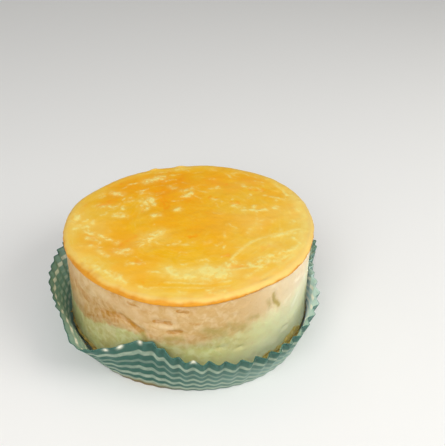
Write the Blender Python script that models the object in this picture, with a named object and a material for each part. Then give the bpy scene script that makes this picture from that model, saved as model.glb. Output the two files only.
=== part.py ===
"""Small round baked cheesecake on a thin sponge base, in a flared, pleated paper case.

Metres, +Z up. The origin is the centre of the case's flat underside. Angles run anticlockwise
from +X seen from above, so 270 degrees is the front of the cake.
"""

import math

import bmesh
import bpy
from mathutils import Vector, noise

MM = 0.001

# Cake: one baked cheese body between a thin sponge base and a browned top layer.
CAKE_RADIUS = 50.0 * MM
GAP = 0.3 * MM
BASE_THICKNESS = 2.4 * MM
BODY_HEIGHT = 33.9 * MM
TOP_THICKNESS = 2.6 * MM
TOP_DOME = 0.6 * MM
TOP_OVERHANG = 0.8 * MM
TOP_TILT = 0.025

# The cake isn't quite round. Each lobe is an angle, the extra radius there and its angular
# half width. The lobes fade towards the foot, where the cake is rounder and a little wider.
OUTLINE_LOBES = (
    (32.0, 1.1 * MM, 22.0),
    (108.0, -2.2 * MM, 38.0),
    (163.0, 0.9 * MM, 16.0),
    (225.0, -0.5 * MM, 20.0),
    (268.0, 0.4 * MM, 16.0),
    (300.0, -1.0 * MM, 18.0),
    (345.0, -1.0 * MM, 22.0),
)
FOOT_SHARE_OF_LOBES = 0.3
FOOT_FLARE = 1.1 * MM
FOOT_FLARE_HEIGHT = 12.0 * MM

# Paper case: a flat round sheet whose border is pleated and turned up.
PAPER = 0.5 * MM
CASE_BASE_RADIUS = 51.7 * MM
WALL_LENGTH = 20.0 * MM
PLEATS = 66
PLEAT_DEPTH_BASE = 0.3 * MM
PLEAT_DEPTH_RIM = 2.2 * MM
PLEAT_PHASE = 277.3
FOLD_HALF_WIDTH = 0.13
WALL_LEAN = 13.0

# Lobes of the case, as above. The lean's are in degrees: the wall leans out more or less than
# usual. The paper stretches flat and stands higher where it bulges in against the cake.
CASE_BASE_LOBES = ((297.0, 1.3 * MM, 28.0),)
LEAN_LOBES = (
    (60.0, -5.0, 22.0),
    (120.0, 5.0, 18.0),
    (232.0, 15.5, 9.5),
    (254.0, -16.0, 9.0),
    (297.0, 8.0, 20.0),
    (14.0, 9.0, 8.0),
    (355.0, -13.5, 19.0),
)
LENGTH_LOBES = ((251.0, 1.2 * MM, 9.0),)
DEPTH_LOBES = (
    (190.0, -0.7 * MM, 30.0),
    (250.0, -1.3 * MM, 13.0),
)

CAKE_SEGMENTS = 120
BODY_ROWS = 14
TOP_RINGS = (0.22, 0.45, 0.67, 0.86)
WALL_ROWS = (0.0, 0.33, 0.66, 1.0)

BASE_Z = PAPER + GAP
BODY_Z = BASE_Z + BASE_THICKNESS + GAP
TOP_Z = BODY_Z + BODY_HEIGHT + GAP

# Creases in the side where the cake shrank: start angle and height, end angle and height,
# depth and half width.
CREASES = (
    (214.0, 23.2 * MM, 240.0, 27.0 * MM, 0.8 * MM, 2.6 * MM),
    (240.0, 27.0 * MM, 252.0, 22.4 * MM, 1.1 * MM, 1.6 * MM),
    (20.0, 34.0 * MM, 62.0, 17.0 * MM, 0.9 * MM, 2.4 * MM),
    (118.0, 26.0 * MM, 150.0, 22.0 * MM, 0.8 * MM, 2.2 * MM),
)

# Dents in the side: angle, height, half length round the cake, half height and depth.
DENTS = (
    (260.0, 29.6 * MM, 4.4 * MM, 1.5 * MM, 1.1 * MM),
    (265.2, 25.8 * MM, 4.0 * MM, 1.4 * MM, 1.0 * MM),
    (312.0, 28.0 * MM, 1.5 * MM, 4.2 * MM, 0.8 * MM),
    (176.0, 20.0 * MM, 4.0 * MM, 1.8 * MM, 0.8 * MM),
    (86.0, 24.0 * MM, 3.4 * MM, 1.6 * MM, 0.9 * MM),
)

# Flakes of crust that stand up at the top's rim: angle, rise and angular half width.
RIM_FLAKES = (
    (95.0, 0.7 * MM, 2.6),
    (110.0, 0.8 * MM, 2.4),
    (304.0, 0.5 * MM, 2.6),
)

# Smooth unevenness of the side and the top, from noise with about 60 cells to the metre.
# Each seed picks another part of the noise.
SIDE_UNEVEN = 0.45 * MM
TOP_UNEVEN = 0.35 * MM
UNEVEN_SCALE = 60.0
SIDE_SEED = 3.0
RIM_SEED = 5.0
TOP_SEED = 7.0
BASE_SEED = 9.0

SHARP_ANGLE = 38.0


def turn_between(first, second):
    """The signed angle in degrees from second to first, the short way round."""
    return (first - second + 180.0) % 360.0 - 180.0


def lobed(angle, lobes):
    """The sum of the lobes at this angle."""
    return sum(
        amount * math.exp(-((turn_between(angle, centre) / width) ** 2))
        for centre, amount, width in lobes
    )


def outline(angle, height):
    """Radius of the cake's outline at this angle and height, before any overhang."""
    share = max(0.0, min(1.0, (height - BASE_Z) / (TOP_Z - BASE_Z)))
    kept = FOOT_SHARE_OF_LOBES + (1.0 - FOOT_SHARE_OF_LOBES) * share
    flare = FOOT_FLARE * math.exp(-(((height - BASE_Z) / FOOT_FLARE_HEIGHT) ** 2))
    return CAKE_RADIUS + kept * lobed(angle, OUTLINE_LOBES) + flare


def uneven(angle, height, seed):
    """Smooth unevenness from -1 to 1 over the cake's surface."""
    turn = math.radians(angle)
    place = Vector((math.cos(turn), math.sin(turn), 0.0)) * CAKE_RADIUS * UNEVEN_SCALE
    return noise.noise(place + Vector((seed, 0.0, height * UNEVEN_SCALE)))


def crease_depth(angle, height, crease):
    """Depth of one straight crease at a point of the unrolled side."""
    start_angle, start_z, end_angle, end_z, depth, half_width = crease
    arc = math.radians(1.0) * CAKE_RADIUS
    run = Vector((turn_between(end_angle, start_angle) * arc, end_z - start_z))
    point = Vector((turn_between(angle, start_angle) * arc, height - start_z))
    share = max(0.0, min(1.0, point.dot(run) / run.length_squared))
    away = (point - run * share).length
    return depth * math.exp(-((away / half_width) ** 2))


def dent_depth(angle, height, dent):
    """Depth of one oval dent at a point of the unrolled side."""
    centre, centre_z, half_length, half_height, depth = dent
    along = math.radians(turn_between(angle, centre)) * CAKE_RADIUS / half_length
    up = (height - centre_z) / half_height
    return depth * math.exp(-(along**2 + up**2))


def side_radius(angle, height):
    """Radius of the cheese body's side."""
    radius = outline(angle, height) - TOP_OVERHANG
    radius += SIDE_UNEVEN * uneven(angle, height, SIDE_SEED)
    radius -= sum(crease_depth(angle, height, crease) for crease in CREASES)
    radius -= sum(dent_depth(angle, height, dent) for dent in DENTS)
    return radius


def on_circle(angle, radius, height):
    """The point at this angle, radius and height."""
    turn = math.radians(angle)
    return Vector((radius * math.cos(turn), radius * math.sin(turn), height))


def turned_solid(name, angles, rows, low_centre, high_centre):
    """A closed solid of rings extruded one from another; rows gives each ring's points by angle."""
    bm = bmesh.new()
    ring = [bm.verts.new(rows[0](angle)) for angle in angles]
    edges = [bm.edges.new((ring[i - 1], ring[i])) for i in range(len(ring))]
    first_edges = list(edges)
    for row in rows[1:]:
        made = bmesh.ops.extrude_edge_only(bm, edges=edges)["geom"]
        edges = [item for item in made if isinstance(item, bmesh.types.BMEdge)]
        above = {}
        for vert in (item for item in made if isinstance(item, bmesh.types.BMVert)):
            below = next(
                edge.other_vert(vert) for edge in vert.link_edges if edge not in edges
            )
            above[below] = vert
        ring = [above[vert] for vert in ring]
        edges = [edge for edge in edges if all(v in ring for v in edge.verts)]
        for vert, angle in zip(ring, angles):
            vert.co = row(angle)
    for rim_edges, centre in ((first_edges, low_centre), (edges, high_centre)):
        middle = bm.verts.new(centre)
        for edge in rim_edges:
            bm.faces.new((edge.verts[0], edge.verts[1], middle))
    bmesh.ops.recalc_face_normals(bm, faces=bm.faces)
    mesh = bpy.data.meshes.new(name)
    bm.to_mesh(mesh)
    bm.free()
    mesh.shade_smooth()
    mesh.set_sharp_from_angle(angle=math.radians(SHARP_ANGLE))
    solid = bpy.data.objects.new(name, mesh)
    bpy.context.collection.objects.link(solid)
    return solid


def finish(solid, colour, roughness):
    """Gives a solid its own plain material."""
    material = bpy.data.materials.new(solid.name)
    material.use_nodes = True
    surface = material.node_tree.nodes["Principled BSDF"]
    surface.inputs["Base Color"].default_value = (*colour, 1.0)
    surface.inputs["Roughness"].default_value = roughness
    solid.data.materials.append(material)


def pleat_wave(angle):
    """-1 on an inner fold, 1 on an outer fold, straight between them."""
    share = ((angle - PLEAT_PHASE) * PLEATS / 360.0) % 1.0
    slope = (0.5 - abs(share - 0.5) - FOLD_HALF_WIDTH) / (0.5 - 2.0 * FOLD_HALF_WIDTH)
    return 2.0 * max(0.0, min(1.0, slope)) - 1.0


def wall_point(angle, share, side):
    """A point of the pleated wall; side is 1 on its outer face and -1 on its inner face."""
    lean = math.radians(WALL_LEAN + lobed(angle, LEAN_LOBES))
    length = share * (WALL_LENGTH + lobed(angle, LENGTH_LOBES))
    rim_depth = PLEAT_DEPTH_RIM + lobed(angle, DEPTH_LOBES)
    depth = PLEAT_DEPTH_BASE + (rim_depth - PLEAT_DEPTH_BASE) * share
    radius = CASE_BASE_RADIUS + lobed(angle, CASE_BASE_LOBES) + length * math.sin(lean)
    radius += 0.5 * depth * pleat_wave(angle) + 0.5 * side * PAPER
    height = length * math.cos(lean)
    floor = PAPER if side < 0 else 0.0
    return on_circle(angle, radius, max(floor, height))


def pleat_angles():
    """Four angles for each pleat: both edges of its inner fold and of its outer fold."""
    pitch = 360.0 / PLEATS
    edges = (-FOLD_HALF_WIDTH, FOLD_HALF_WIDTH, 0.5 - FOLD_HALF_WIDTH, 0.5 + FOLD_HALF_WIDTH)
    return [PLEAT_PHASE + pitch * (i + edge) for i in range(PLEATS) for edge in edges]


def make_case():
    """The paper case: flat base, pleated wall, open top."""
    rows = [
        lambda angle, share=share: wall_point(angle, share, 1.0) for share in WALL_ROWS
    ]
    rows += [
        lambda angle, share=share: wall_point(angle, share, -1.0)
        for share in reversed(WALL_ROWS)
    ]
    case = turned_solid(
        "paper_case",
        pleat_angles(),
        rows,
        Vector((0.0, 0.0, 0.0)),
        Vector((0.0, 0.0, PAPER)),
    )
    finish(case, (0.09, 0.2, 0.17), 0.7)


def cake_angles():
    """Evenly spaced angles for the cake's rings."""
    return [360.0 * i / CAKE_SEGMENTS for i in range(CAKE_SEGMENTS)]


def tilted(angle, radius, height):
    """A point whose height is raised by the slope of the cake's top, up towards +X."""
    point = on_circle(angle, radius, height)
    point.z += TOP_TILT * point.x
    return point


def make_base():
    """The thin browned sponge base, a little uneven round its edge."""

    def edge(angle, inset, height):
        radius = outline(angle, height) - TOP_OVERHANG - inset
        return on_circle(angle, radius + SIDE_UNEVEN * uneven(angle, height, BASE_SEED), height)

    levels = (
        (1.0 * MM, BASE_Z),
        (0.1 * MM, BASE_Z + 0.3 * BASE_THICKNESS),
        (0.0, BASE_Z + 0.75 * BASE_THICKNESS),
        (0.5 * MM, BASE_Z + BASE_THICKNESS),
    )
    rows = [
        lambda angle, inset=inset, height=height: edge(angle, inset, height)
        for inset, height in levels
    ]
    base = turned_solid(
        "sponge_base",
        cake_angles(),
        rows,
        Vector((0.0, 0.0, BASE_Z)),
        Vector((0.0, 0.0, BASE_Z + BASE_THICKNESS)),
    )
    finish(base, (0.55, 0.35, 0.09), 0.85)


def make_body():
    """The pale cheese body, with the creases and dents of its side."""

    def side(angle, share):
        height = BODY_Z + share * BODY_HEIGHT
        point = on_circle(angle, side_radius(angle, height), height)
        point.z += TOP_TILT * point.x * share
        return point

    rows = [
        lambda angle, share=i / BODY_ROWS: side(angle, share)
        for i in range(BODY_ROWS + 1)
    ]
    body = turned_solid(
        "cheese_body",
        cake_angles(),
        rows,
        Vector((0.0, 0.0, BODY_Z)),
        Vector((0.0, 0.0, BODY_Z + BODY_HEIGHT)),
    )
    finish(body, (0.85, 0.72, 0.45), 0.5)


def make_top():
    """The browned, glazed top layer: flat underneath, rounded rim, gently domed."""

    def surface(angle, share):
        point = tilted(angle, share * outline(angle, TOP_Z), TOP_Z)
        dome = TOP_THICKNESS + TOP_DOME * (1.0 - share**2)
        ripple = TOP_UNEVEN * noise.noise(point * UNEVEN_SCALE + Vector((0.0, 0.0, TOP_SEED)))
        point.z += dome + ripple
        return point

    def rim(angle, inset, rise):
        radius = outline(angle, TOP_Z) - inset
        radius += 0.5 * TOP_UNEVEN * uneven(angle, 0.0, RIM_SEED)
        flake = lobed(angle, RIM_FLAKES) * rise / TOP_THICKNESS
        return tilted(angle, radius, TOP_Z + rise + flake)

    edge_profile = (
        (1.0 * MM, 0.0),
        (0.15 * MM, 0.4 * MM),
        (0.0, 1.0 * MM),
        (0.4 * MM, 1.8 * MM),
        (1.3 * MM, 2.4 * MM),
        (2.8 * MM, TOP_THICKNESS),
    )
    rows = [
        lambda angle, inset=inset, rise=rise: rim(angle, inset, rise)
        for inset, rise in edge_profile
    ]
    rows += [
        lambda angle, share=share: surface(angle, share) for share in reversed(TOP_RINGS)
    ]
    top = turned_solid(
        "browned_top",
        cake_angles(),
        rows,
        Vector((0.0, 0.0, TOP_Z)),
        Vector((0.0, 0.0, TOP_Z + TOP_THICKNESS + TOP_DOME)),
    )
    finish(top, (0.83, 0.42, 0.03), 0.3)


def main():
    for old in list(bpy.data.objects):
        bpy.data.objects.remove(old)
    make_case()
    make_base()
    make_body()
    make_top()


main()
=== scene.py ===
"""Looks of a small round baked cheesecake in a pleated paper case, built round its solids.

Metres, +Z up. The origin is the centre of the case's flat underside. Angles are in degrees and run
anticlockwise from +X seen from above, so 270 is the front of the cake. The lists of marks and
lobes give their lengths in mm.
"""

import math

import bpy
import numpy as np
from mathutils import Euler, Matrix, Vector, noise


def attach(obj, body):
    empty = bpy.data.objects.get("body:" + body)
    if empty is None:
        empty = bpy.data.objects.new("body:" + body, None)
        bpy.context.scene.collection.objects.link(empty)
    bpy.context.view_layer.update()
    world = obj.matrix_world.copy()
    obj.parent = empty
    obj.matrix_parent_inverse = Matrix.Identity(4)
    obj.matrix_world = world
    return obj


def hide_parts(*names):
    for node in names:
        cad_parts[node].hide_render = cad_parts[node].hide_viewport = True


bl_info = {
    "name": "Cheesecake in a paper case",
    "version": (1, 0, 0),
    "blender": (4, 5, 0),
    "location": "3D View > Sidebar > Cheesecake",
    "description": "Makes a glazed baked cheesecake on a sponge base, in a pleated paper case",
    "category": "Add Mesh",
}

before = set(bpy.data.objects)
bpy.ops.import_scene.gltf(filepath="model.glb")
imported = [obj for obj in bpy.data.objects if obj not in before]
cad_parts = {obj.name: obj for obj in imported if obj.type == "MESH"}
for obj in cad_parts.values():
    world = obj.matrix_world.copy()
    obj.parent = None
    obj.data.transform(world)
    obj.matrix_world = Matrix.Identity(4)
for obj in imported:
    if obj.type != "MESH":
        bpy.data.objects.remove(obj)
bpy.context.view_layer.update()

MM = 0.001

# The cake isn't quite round. Each lobe is an angle, the extra radius there and its angular
# half width. The lobes fade towards the foot, where the cake is rounder and a little wider.
OUTLINE_LOBES = (
    (32, 1.1, 22),
    (108, -2.2, 38),
    (163, 0.9, 16),
    (225, -0.5, 20),
    (268, 0.4, 16),
    (300, -1.0, 18),
    (345, -0.4, 22),
)
FOOT_SHARE_OF_LOBES = 0.3
FOOT_FLARE = 1.1 * MM
FOOT_FLARE_HEIGHT = 12.0 * MM

# Smooth unevenness of the side and the top, as the solids have it.
UNEVEN_SCALE = 60.0
SIDE_UNEVEN = 0.45 * MM
TOP_UNEVEN = 0.35 * MM
SIDE_SEED = 3.0
RIM_SEED = 5.0
TOP_SEED = 7.0
BASE_SEED = 9.0

# Creases in the side: start angle and height, end angle and height, half width and depth.
CREASES = (
    (214, 23.6, 240, 27.6, 3.0, 0.35),
    (240, 27.6, 251, 23.8, 1.5, 0.5),
    (20, 34.0, 62, 17.0, 2.4, 0.9),
    (118, 26.0, 150, 22.0, 2.2, 0.8),
)

# Dents in the side: angle, height, half length round the cake, half height and depth.
DENTS = (
    (260, 29.4, 4.0, 1.6, 0.8),
    (265, 25.8, 3.2, 1.4, 0.6),
    (310.6, 29.2, 1.3, 3.8, 0.6),
    (176, 20.0, 4.0, 1.8, 0.8),
    (86, 24.0, 3.4, 1.6, 0.9),
)

# Small pits that only the skin shows, given as the dents are.
SKIN_PITS = (
    (267.7, 34.4, 1.6, 0.7, 0.4),
    (247.5, 34.2, 2.6, 0.8, 0.35),
    (308, 27.0, 1.0, 2.2, 0.3),
    (283, 16.5, 2.2, 0.8, 0.3),
    (292, 14.8, 1.8, 0.7, 0.3),
    (318, 13.0, 2.4, 1.0, 0.4),
    (40, 12.0, 3.0, 1.0, 0.4),
    (132, 33.0, 2.4, 1.0, 0.4),
)

# Streaks on the side, given as the creases are, with a strength in place of a depth.
# Orange-brown ones are toasted, and along the creases and in the pits they are painted shade too.
# Olive ones are dull brown, and the one in the dent at 310 degrees is painted shade. Whitish ones
# stand out, and most of them are painted highlights of the wet side.
TOASTED_AND_SHADED_STREAKS = (
    (209, 29.0, 220, 26.0, 2.6, 0.55),
    (220, 26.0, 236, 32.6, 1.8, 0.3),
    (203, 31.0, 207, 22.0, 2.6, 0.35),
    (218, 17.6, 226, 21.4, 1.0, 0.4),
    (226, 21.4, 238, 24.6, 1.1, 0.5),
    (229, 25.0, 239, 27.0, 1.4, 0.75),
    (239, 27.4, 245, 26.8, 1.2, 1.0),
    (245, 26.8, 250, 24.0, 1.0, 1.0),
    (245, 35.2, 249.5, 34.6, 0.8, 0.6),
    (257, 29.6, 262.6, 29.7, 0.9, 1.0),
    (262.4, 25.8, 267, 26.4, 0.9, 1.0),
    (266, 34.9, 269.4, 34.9, 0.8, 0.9),
    (271, 30.0, 274, 29.6, 0.9, 0.3),
    (295.6, 17.7, 297.4, 17.9, 0.5, 0.7),
    (298.2, 14.0, 300, 14.4, 0.5, 0.6),
)
OLIVE_STREAKS = (
    (250.4, 23.0, 253, 18.6, 1.2, 0.7),
    (261, 22.8, 267, 23.4, 1.6, 0.5),
    (277, 26.0, 285, 23.4, 2.0, 0.6),
    (287.5, 25.6, 293, 24.0, 1.8, 0.5),
    (296, 26.6, 300, 26.0, 1.1, 0.4),
    (305.6, 31.0, 307.8, 27.8, 1.0, 0.45),
    (308.6, 32.6, 312.6, 26.0, 0.8, 1.0),
)
# Most of these are painted highlights of the wet side.
MILKY_AND_HIGHLIGHT_STREAKS = (
    (228, 34.6, 250, 30.4, 2.6, 0.16),
    (258.4, 27.4, 263.4, 27.7, 1.0, 0.25),
    (306, 38.0, 314, 31.6, 1.8, 0.4),
    (306, 25.8, 307.4, 24.8, 1.1, 0.4),
    (317, 25.6, 320, 27.0, 2.4, 0.6),
    (322, 19.0, 328, 24.0, 2.6, 0.6),
    (322, 32.0, 334, 30.0, 2.8, 0.6),
)

# Height up the side of the edge of the green tint low on the side, by angle. The tint is
# painted reflection of the teal paper.
PAPER_BOUNCE_EDGE = (
    (0, 27.0),
    (40, 20.0),
    (90, 22.0),
    (150, 17.0),
    (182, 23.0),
    (194, 22.0),
    (202, 14.4),
    (217, 15.8),
    (230, 21.2),
    (250, 22.0),
    (264, 20.6),
    (275, 19.6),
    (286, 22.0),
    (304, 23.8),
    (326, 26.0),
    (342, 30.0),
    (360, 27.0),
)

# Where crumbs of the sponge cling to the cheese's foot: angle, height and angular half width.
CRUMBED_FOOT = ((324, 4.4, 9), (308, 3.0, 6), (221, 1.4, 7))

# Spots of the rim's lower edge that have baked darkest: angle, strength and angular half width.
BURNT_SPOTS = (
    (213, 0.2, 6),
    (246, 0.2, 5),
    (267.5, 0.25, 2.4),
    (278.5, 0.4, 1.6),
    (290, 0.3, 12),
    (300.5, 1.1, 1.8),
    (312, 0.4, 9),
    (327, 0.4, 8),
    (343, 0.5, 5),
)

# Flakes of crust that stand up at the top's rim: angle, rise and angular half width.
RIM_FLAKES = ((95, 0.7, 2.6), (110, 0.8, 2.4), (304, 0.5, 2.6))

# The top's rim in section: how far it lies inside the outline, and above the cheese.
RIM_PROFILE = ((1.0, 0.0), (0.15, 0.4), (0.0, 1.0), (0.4, 1.8), (1.3, 2.4), (2.8, 2.6))

# Edge of the sponge in section: how far it lies inside the foot, and its share of the thickness.
SPONGE_PROFILE = ((1.4, 0.0), (0.2, 0.25), (0.0, 0.6), (0.1, 0.85), (0.6, 1.0))

# Streaks in the glaze of the top: start x and y, end x and y, half width and strength. Light
# ones are where the glaze lies thick and smooth, and many of them are painted glints; deep ones
# are where the skin has browned under a thin one.
PALE_AND_GLINT_STREAKS = (
    (-46, 5, -48, 0, 2.2, 0.9),
    (-45, -4, -40, -3, 1.0, 0.5),
    (-41, -6, -37, -9, 0.8, 0.7),
    (-39, -11, -34, -15, 0.9, 0.7),
    (-35, -10, -30, -14, 0.9, 0.8),
    (-37, -17, -33, -18, 0.8, 0.5),
    (-34, -20, -30, -24, 0.8, 0.5),
    (-38, 20, -36, 23, 1.1, 0.6),
    (-33, 23, -29, 21, 1.3, 0.8),
    (-36, 11, -30, 12, 1.2, 0.7),
    (-29, 4, -27, 4, 1.4, 0.95),
    (-24, 16, -20, 15, 0.8, 0.5),
    (-21, 22, -17, 22, 0.7, 0.6),
    (-19, 32, -12, 36, 1.6, 1.0),
    (-18, 16, -18, 9, 1.5, 0.7),
    (-16, 17, -15, 12, 0.9, 1.0),
    (-14, 3, -13, 3, 1.2, 1.0),
    (-8, 27, -6, 25, 0.9, 1.0),
    (-2, 23, 1, 24, 1.2, 0.9),
    (-2, 18, 1, 20, 1.2, 0.8),
    (-5, 7, -4, 8, 1.0, 0.8),
    (-27, -15, -27, -15, 1.0, 0.9),
    (-26, -21, -23, -21, 1.8, 0.7),
    (-18, -17, -11, -9, 2.0, 0.6),
    (-9, 43, 1, 45, 0.9, 0.7),
    (10, 15, 11, 15, 0.8, 0.8),
    (20, 38, 24, 40, 0.8, 0.5),
    (33, 36, 35, 33, 0.9, 0.7),
    (38, 29, 42, 18, 0.7, 0.6),
    (44, 17, 48, 12, 1.5, 1.0),
    (32, 18, 41, 14, 0.6, 0.6),
    (19, 10, 20, 9, 1.2, 0.9),
    (23, 6, 31, 6, 0.9, 0.9),
    (35, 8, 36, 8, 1.0, 0.9),
    (26, -27, 39, -22, 0.8, 0.6),
    (29, -29, 32, -29, 1.2, 1.0),
    (22, -31, 25, -32, 1.4, 0.9),
    (24, -30, 31, -26, 0.7, 0.7),
    (33, -13, 43, -10, 0.6, 0.7),
    (-39, -27, -23, -39, 1.8, 0.75),
    (-22, -29, -16, -29, 1.0, 0.5),
    (-7, -32, -4, -37, 1.4, 0.9),
    (-1, -37, 1, -37, 1.3, 0.9),
    (6, -33, 12, -36, 2.0, 1.0),
    (16, -29, 6, -39, 1.4, 0.7),
    (8, -46, 13, -46, 0.9, 0.95),
)
DEEP_STREAKS = (
    (15, -32, 19, -32, 0.8, 0.9),
    (19, -32, 25, -31, 0.5, 0.6),
    (-37, 13, -31, 16, 1.3, 0.9),
    (-44, 12, -46, 9, 1.0, 0.6),
    (-34, 28, -26, 33, 1.3, 0.5),
    (-24, 19, -18, 24, 1.2, 0.7),
    (-20, 10, -19, 7, 0.8, 0.6),
    (-30, -22, -20, -11, 1.0, 0.7),
    (-38, -14, -33, -18, 0.9, 0.5),
    (-40, -9, -36, -12, 0.7, 0.5),
    (-14, 23, -9, 10, 3.2, 0.8),
    (-14, 39, -3, 41, 1.3, 0.6),
    (-1, -13, 3, -13, 1.4, 0.7),
    (9, 17, 11, 17, 1.5, 0.7),
    (15, 28, 23, 29, 1.4, 0.5),
    (27, 23, 34, 22, 1.5, 0.75),
    (18, 12, 21, 12, 1.1, 0.9),
    (42, 10, 43, 4, 1.0, 0.5),
    (27, -22, 33, -18, 1.2, 0.6),
    (13, -25, 14, -25, 1.0, 0.7),
    (29, -31, 35, -28, 1.0, 0.5),
    (-20, -27, -16, -30, 0.8, 0.6),
    (-15, -40, -14, -42, 0.8, 0.5),
    (-10, -40, -10, -42, 0.8, 0.5),
)

# Smooth arcs that the brush left in the glaze: half width, strength and points.
BRUSHED_ARCS = (
    (0.7, 0.55, ((12.6, -33.4), (18.5, -22.6), (27.4, -14.6), (42.9, -8.4))),
    (0.5, 0.6, ((14.6, -33.6), (22.0, -32.3), (30.4, -29.9), (37.3, -24.4), (41.3, -18.6))),
    (0.6, 0.4, ((25.6, -38.3), (36.6, -27.6), (43.0, -18.4), (46.2, -12.8))),
    (0.5, 0.5, ((-7.8, -39.7), (4.0, -41.1), (14.4, -39.8))),
    (0.4, 0.4, ((-13.2, -42.2), (4.0, -43.3), (14.0, -42.4))),
    (0.9, 0.35, ((20.0, -37.5), (31.0, -29.5), (39.5, -20.0))),
)

# Broad soft patches of the top: centre x and y, half length along x and y, and strength. The
# light ones are painted sheen of the glaze, and the skin is browner in the dark ones.
PAINTED_SHEEN_PATCHES = (
    (6, -35, 19, 5, 0.46),
    (30, -22, 13, 8, 0.34),
    (28, -2, 16, 12, 0.24),
    (26, 26, 18, 8, 0.12),
    (-34, -28, 10, 9, 0.16),
    (-41, -4, 9, 16, 0.26),
    (44, 2, 7, 20, 0.28),
    (-14, -13, 8, 5, 0.18),
)
DARK_PATCHES = (
    (-6, 22, 13, 20, 0.55),
    (2, -6, 14, 12, 0.25),
    (20, 28, 20, 8, 0.4),
    (-26, 25, 12, 10, 0.4),
    (-26, -18, 6, 8, 0.30),
    (-12, -39, 6, 4, 0.35),
    (28, -4, 8, 6, 0.15),
)

# Paper case. Each lobe is an angle, an amount and an angular half width. It makes the base bulge,
# the wall lean out by more degrees, stand higher, bow outwards at half its height or be pleated
# more deeply, or it shifts the pleats by a share of one.
PLEAT_PHASE = 277.3
FOLD_HALF_WIDTH = 0.13
CASE_BASE_LOBES = (
    (297, 1.3, 28),
    (352, -0.6, 22),
    (202, -0.5, 26),
    (219, -0.5, 14),
    (335, -0.8, 15),
)
LEAN_LOBES = (
    (60, -5, 22),
    (120, 5, 18),
    (194, 5, 26),
    (212, 2.5, 7),
    (229, 19.5, 11),
    (254, -16, 9),
    (297, 8, 20),
    (14, 9, 8),
    (356, -14, 17),
    (335, 2.3, 15),
)
LENGTH_LOBES = ((251, 1.2, 9),)
BOW = 1.2 * MM
BOW_LOBES = ((219, -5, 16), (332, -3, 16))
DEPTH_LOBES = ((198, -1.7, 34), (222, -0.8, 9), (246, -1.2, 16), (9, -1.2, 7), (338, -0.7, 18))
PHASE_LOBES = ((355, -1.1, 26),)

# Printed rings of the case: place from the rim as a share of the wall, half width as a share of
# the wall, and strength.
PAPER_RINGS = (
    (0.25, 0.048, 0.9),
    (0.44, 0.030, 0.45),
    (0.60, 0.038, 0.75),
    (0.77, 0.038, 0.9),
    (0.92, 0.038, 0.95),
)

# Painted highlights at the folds of the rim: angle and share of the wall, from its foot.
RIM_GLINTS = ((239.6, 0.94), (244.4, 0.96), (250.8, 0.97), (271.7, 0.97))

# How finely each piece is divided.
STEPS_PER_PLEAT = 12
WALL_ROWS = 26
FLOOR_ROWS = 8
CHEESE_ROWS = 112
CHEESE_COLUMNS = 620
SPONGE_COLUMNS = 560
TOP_ROWS = 92
TOP_COLUMNS = 600
STEPS_PER_KNOT = 5

# What is strewn by chance.
FAINT_STREAKS = 140
FAINT_SEED = 11
FAINT_REACH = 47.0
CRUMBS = 60

AXIS_REACH = 0.01 * MM
TOUCH = 0.03 * MM


def length_setting(name, description, default):
    """A setting that is a length."""
    return bpy.props.FloatProperty(
        name=name, description=description, default=default, unit="LENGTH"
    )


def number_setting(name, description, default):
    """A setting that is a plain number."""
    return bpy.props.FloatProperty(name=name, description=description, default=default)


def colour_setting(name, description, default):
    """A setting that is a colour."""
    return bpy.props.FloatVectorProperty(
        name=name, description=description, default=default, subtype="COLOR"
    )


class CakeSettings(bpy.types.PropertyGroup):
    """Sizes and colours of the cake."""

    radius: length_setting("Radius", "Radius of the browned top", 50.0 * MM)
    overhang: length_setting("Overhang", "How far the top stands out over the cheese", 0.8 * MM)
    dome: length_setting("Dome", "Rise of the top from its rim to its centre", 0.6 * MM)
    slope: number_setting("Slope", "Slope of the top, up towards +X", 0.025)
    golden: colour_setting("Golden skin", "Colour of the glazed top", (0.84, 0.46, 0.008))
    browned: colour_setting(
        "Browned skin", "Colour of the top where it has baked darkest", (0.88, 0.34, 0.002)
    )
    # Also the colour of the top's painted sheen and painted glints.
    thick_glaze_and_sheen: colour_setting(
        "Thick glaze", "Colour of the top where the glaze lies thick", (0.87, 0.72, 0.22)
    )
    rim_crust: colour_setting(
        "Rim crust", "Colour of the lower edge of the top's rim", (0.70, 0.30, 0.02)
    )
    burnt: colour_setting("Burnt rim", "Colour of the rim's darkest spots", (0.48, 0.15, 0.015))
    rim_pale: colour_setting("Pale rim", "Colour of the rim above its crust", (0.80, 0.58, 0.18))
    cheese: colour_setting("Cheese", "Colour of the baked cheese", (0.605, 0.39, 0.15))
    # Also painted shade in the creases and pits, and towards the left side of the cheese.
    toasted_and_shaded: colour_setting(
        "Toasted cheese", "Colour of the cheese in creases and pits", (0.50, 0.225, 0.02)
    )
    # The zone named here is the teal paper's painted reflection; one olive streak is a dent's
    # painted shade.
    olive: colour_setting(
        "Olive cheese",
        "Colour of the dull brown streaks at the edge of the moist zone",
        (0.44, 0.335, 0.10),
    )
    # Also the colour of painted highlights and of painted light on the right side and foot.
    milky_and_lit: colour_setting(
        "Milky cheese", "Colour of the palest streaks of the cheese", (0.95, 0.86, 0.62)
    )
    # Painted reflection: the teal paper's colour thrown onto the lower side of the cheese.
    paper_bounce: colour_setting(
        "Moist cheese", "Colour of the moist lower side, tinted by the paper", (0.62, 0.62, 0.25)
    )
    # Its lit copy, where painted light falls on that painted reflection.
    paper_bounce_lit: colour_setting(
        "Light moist cheese", "Colour of the moist side where it is palest", (0.95, 0.94, 0.72)
    )
    sponge: colour_setting("Sponge", "Colour of the sponge base", (0.92, 0.68, 0.21))
    crust: colour_setting(
        "Sponge crust", "Colour of the sponge's browned outside", (0.40, 0.22, 0.05)
    )


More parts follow.
